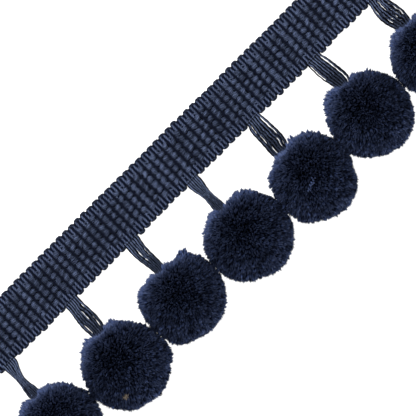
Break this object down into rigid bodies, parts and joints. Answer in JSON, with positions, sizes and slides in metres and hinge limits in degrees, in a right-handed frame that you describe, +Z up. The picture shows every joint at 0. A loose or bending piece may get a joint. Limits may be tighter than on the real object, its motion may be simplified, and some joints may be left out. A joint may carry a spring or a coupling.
{
  "type": "pompom fringe trim",
  "caption": "Cut length of a ribbed woven heading with cut-pile pompoms hung in a row from its lower edge by bunches of loose yarn.",
  "frame": {"origin": "centre of the heading's flat back, on the surface that the trim lies on", "axes": "+X along the heading, +Y from the pompoms towards the heading's outer edge, +Z up from the surface, out of the ribbed face"},
  "size_m": [0.1944, 0.0579, 0.0266],
  "materials": {
    "heading_yarn": "navy plied yarn in a ribbed plain weave, with a soft sheen",
    "hanger_yarn": "navy plied yarn, loose threads",
    "pompom_pile": "deep navy cut pile, matt at its heart and paler at its rim"
  },
  "bodies": {
    "root": {"heading": "heading_yarn", "hanger_1": "hanger_yarn", "hanger_2": "hanger_yarn", "hanger_3": "hanger_yarn", "hanger_4": "hanger_yarn", "hanger_5": "hanger_yarn", "hanger_6": "hanger_yarn", "hanger_7": "hanger_yarn", "pompom_1": "pompom_pile", "pompom_2": "pompom_pile", "pompom_3": "pompom_pile", "pompom_4": "pompom_pile", "pompom_5": "pompom_pile", "pompom_6": "pompom_pile", "pompom_7": "pompom_pile"}
  },
  "joints": []
}
